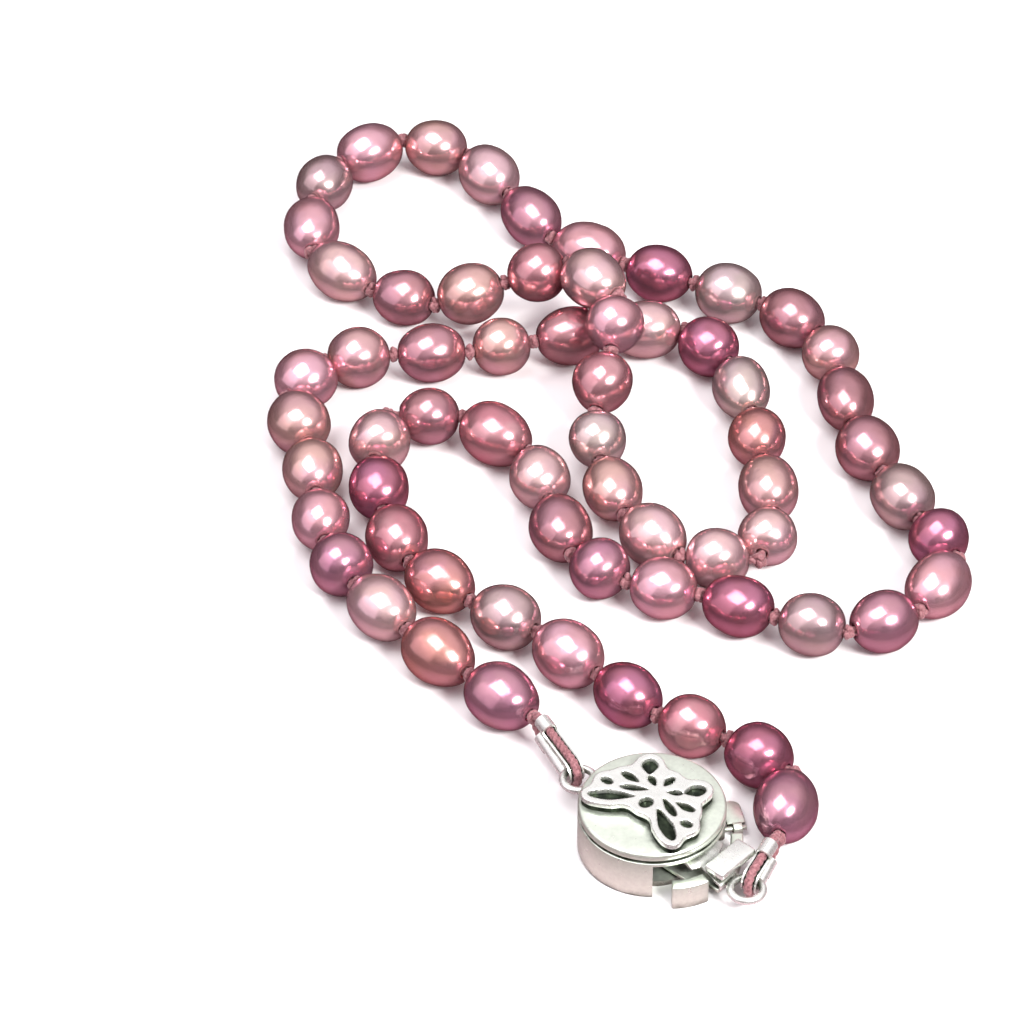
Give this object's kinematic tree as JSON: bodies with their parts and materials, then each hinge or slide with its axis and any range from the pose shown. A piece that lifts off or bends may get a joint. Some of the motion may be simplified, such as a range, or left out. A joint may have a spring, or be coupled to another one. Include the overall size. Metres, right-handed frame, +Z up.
{
  "type": "pearl necklace",
  "caption": "Knotted strand of oval pearls on silk, closed by a round box clasp with an openwork butterfly lid and a sprung tongue.",
  "frame": {"origin": "middle of the footprint, on the table the necklace lies on", "axes": "+Z up from the table, +Y away from the viewer along the length of the lay, +X to the viewer's right"},
  "size_m": [0.0672, 0.1118, 0.0114],
  "materials": {
    "nacre_champagne": "glossy metallic nacre, opaque",
    "nacre_deep_rose": "glossy metallic nacre, opaque",
    "nacre_grey_mauve": "glossy metallic nacre, opaque",
    "nacre_coral": "glossy metallic nacre, opaque",
    "nacre_lilac": "glossy metallic nacre, opaque",
    "nacre_mauve": "glossy metallic nacre, opaque",
    "nacre_orchid": "glossy metallic nacre, opaque",
    "nacre_pink": "glossy metallic nacre, opaque",
    "nacre_rose": "glossy metallic nacre, opaque",
    "nacre_silver_white": "glossy metallic nacre, opaque",
    "silver": "polished, lightly worn",
    "bright_silver": "bright polish",
    "oxidised_silver": "dark oxidised",
    "silk": "twisted silk"
  },
  "bodies": {
    "strand_and_case": {"pearls_02_03": "nacre_coral", "pearls_04_05": "nacre_orchid", "pearls_07_08": "nacre_champagne", "pearls_09_10": "nacre_champagne", "pearls_12_13": "nacre_mauve", "pearls_14_15": "nacre_deep_rose", "pearls_17_18": "nacre_champagne", "pearls_19_20": "nacre_lilac", "pearls_22_23": "nacre_silver_white", "pearls_24_25": "nacre_pink", "pearls_27_28": "nacre_champagne", "pearls_29_30": "nacre_lilac", "pearls_32_33": "nacre_pink", "pearls_34_35": "nacre_lilac", "pearls_37_38": "nacre_deep_rose", "pearls_39_40": "nacre_mauve", "pearls_42_43": "nacre_mauve", "pearls_44_45": "nacre_deep_rose", "pearls_47_48": "nacre_grey_mauve", "pearls_49_50": "nacre_pink", "pearls_52_53": "nacre_lilac", "pearls_54_55": "nacre_mauve", "silk_main": "silk", "silk_follower": "silk", "case_body": "silver", "case_lid": "silver", "case_ring": "bright_silver", "guard_case": "bright_silver", "butterfly_backing": "oxidised_silver", "butterfly_plate": "bright_silver", "tag_pin": "silver"},
    "tongue": {"tongue_base": "silver", "tongue_block_left": "silver", "tongue_block_right": "silver", "tongue_ring": "bright_silver", "guard_tongue": "bright_silver", "silk_tongue": "silk", "pearl_64": "nacre_orchid"},
    "leaf": {"tongue_leaf": "bright_silver", "thumb_tab": "bright_silver"},
    "tag": {"blank_tag": "silver"},
    "pearl_56": {"pearl_56": "nacre_deep_rose"},
    "pearl_57": {"pearl_57": "nacre_rose"},
    "pearl_58": {"pearl_58": "nacre_coral"},
    "pearl_59": {"pearl_59": "nacre_grey_mauve"},
    "pearl_60": {"pearl_60": "nacre_pink"},
    "pearl_61": {"pearl_61": "nacre_deep_rose"},
    "pearl_62": {"pearl_62": "nacre_rose"},
    "pearl_63": {"pearl_63": "nacre_deep_rose"},
    "pearl_01": {"pearl_01": "nacre_orchid"},
    "pearl_06": {"pearl_06": "nacre_champagne"},
    "pearl_11": {"pearl_11": "nacre_champagne"},
    "pearl_16": {"pearl_16": "nacre_coral"},
    "pearl_21": {"pearl_21": "nacre_champagne"},
    "pearl_26": {"pearl_26": "nacre_rose"},
    "pearl_31": {"pearl_31": "nacre_grey_mauve"},
    "pearl_36": {"pearl_36": "nacre_pink"},
    "pearl_41": {"pearl_41": "nacre_mauve"},
    "pearl_46": {"pearl_46": "nacre_orchid"},
    "pearl_51": {"pearl_51": "nacre_mauve"}
  },
  "joints": [
    {"name": "tongue_slide", "type": "slide", "parent": "strand_and_case", "child": "tongue", "axis": [0.7373, -0.6756, 0], "range_m": [-0.002, 0.0035], "deforming": ["silk_follower"]},
    {"name": "leaf_press", "type": "hinge", "parent": "tongue", "child": "leaf", "pos_m": [0.00892, -0.05238, 0.0016], "axis": [-0.6756, -0.7373, 0], "range_deg": [0, 12], "stiffness_Nm_per_rad": 0.02},
    {"name": "tag_swing", "type": "hinge", "parent": "strand_and_case", "child": "tag", "pos_m": [0.0103, -0.04514, 0.00075], "axis": [0.9833, 0.1822, 0], "range_deg": [0, 100]},
    {"name": "pearl_56_slide", "type": "slide", "parent": "strand_and_case", "child": "pearl_56", "axis": [0.7373, -0.6756, 0], "range_m": [-0.000057, 0.000085]},
    {"name": "pearl_57_slide", "type": "slide", "parent": "strand_and_case", "child": "pearl_57", "axis": [0.7373, -0.6756, 0], "range_m": [-0.00022, 0.00037]},
    {"name": "pearl_58_slide", "type": "slide", "parent": "strand_and_case", "child": "pearl_58", "axis": [0.7373, -0.6756, 0], "range_m": [-0.00051, 0.00088]},
    {"name": "pearl_59_slide", "type": "slide", "parent": "strand_and_case", "child": "pearl_59", "axis": [0.7373, -0.6756, 0], "range_m": [-0.00088, 0.00152]},
    {"name": "pearl_60_slide", "type": "slide", "parent": "strand_and_case", "child": "pearl_60", "axis": [0.7373, -0.6756, 0], "range_m": [-0.00127, 0.0022]},
    {"name": "pearl_61_slide", "type": "slide", "parent": "strand_and_case", "child": "pearl_61", "axis": [0.7373, -0.6756, 0], "range_m": [-0.00163, 0.00283]},
    {"name": "pearl_62_slide", "type": "slide", "parent": "strand_and_case", "child": "pearl_62", "axis": [0.7373, -0.6756, 0], "range_m": [-0.00187, 0.00327]},
    {"name": "pearl_63_slide", "type": "slide", "parent": "strand_and_case", "child": "pearl_63", "axis": [0.7373, -0.6756, 0], "range_m": [-0.002, 0.00349]},
    {"name": "pearl_01_spin", "type": "hinge", "parent": "strand_and_case", "child": "pearl_01", "pos_m": [-0.01073, -0.0305, 0.0031], "axis": [-0.7235, 0.6903, 0], "continuous": true},
    {"name": "pearl_06_spin", "type": "hinge", "parent": "strand_and_case", "child": "pearl_06", "pos_m": [-0.02899, 0.00126, 0.0031], "axis": [-0.108, 0.9942, 0], "continuous": true},
    {"name": "pearl_11_spin", "type": "hinge", "parent": "strand_and_case", "child": "pearl_11", "pos_m": [-0.01086, 0.02011, 0.0031], "axis": [0.9676, 0.2525, 0], "continuous": true},
    {"name": "pearl_16_spin", "type": "hinge", "parent": "strand_and_case", "child": "pearl_16", "pos_m": [0.01395, 0.00616, 0.0031], "axis": [0.0961, -0.9954, 0], "continuous": true},
    {"name": "pearl_21_spin", "type": "hinge", "parent": "strand_and_case", "child": "pearl_21", "pos_m": [-0.00017, -0.00171, 0.00324], "axis": [-0.2963, 0.9541, 0.0442], "continuous": true},
    {"name": "pearl_26_spin", "type": "hinge", "parent": "strand_and_case", "child": "pearl_26", "pos_m": [-0.00733, 0.02737, 0.00674], "axis": [-0.9291, 0.0054, -0.3699], "continuous": true},
    {"name": "pearl_31_spin", "type": "hinge", "parent": "strand_and_case", "child": "pearl_31", "pos_m": [-0.02912, 0.04692, 0.0031], "axis": [0.362, 0.9322, 0], "continuous": true},
    {"name": "pearl_36_spin", "type": "hinge", "parent": "strand_and_case", "child": "pearl_36", "pos_m": [-0.00206, 0.03545, 0.0031], "axis": [0.8614, -0.508, 0], "continuous": true},
    {"name": "pearl_41_spin", "type": "hinge", "parent": "strand_and_case", "child": "pearl_41", "pos_m": [0.02281, 0.01192, 0.0031], "axis": [0.114, -0.9935, 0], "continuous": true},
    {"name": "pearl_46_spin", "type": "hinge", "parent": "strand_and_case", "child": "pearl_46", "pos_m": [0.02471, -0.02032, 0.0031], "axis": [-0.9184, -0.3956, 0], "continuous": true},
    {"name": "pearl_51_spin", "type": "hinge", "parent": "strand_and_case", "child": "pearl_51", "pos_m": [-0.00521, -0.00719, 0.0031], "axis": [-0.2571, 0.9664, 0], "continuous": true}
  ],
  "couplings": [
    {"joint": "pearl_56_slide", "follows": "tongue_slide", "ratio": 0.0185},
    {"joint": "pearl_57_slide", "follows": "tongue_slide", "ratio": 0.1001},
    {"joint": "pearl_58_slide", "follows": "tongue_slide", "ratio": 0.2462},
    {"joint": "pearl_59_slide", "follows": "tongue_slide", "ratio": 0.4295},
    {"joint": "pearl_60_slide", "follows": "tongue_slide", "ratio": 0.624},
    {"joint": "pearl_61_slide", "follows": "tongue_slide", "ratio": 0.804},
    {"joint": "pearl_62_slide", "follows": "tongue_slide", "ratio": 0.9276},
    {"joint": "pearl_63_slide", "follows": "tongue_slide", "ratio": 0.9926}
  ]
}
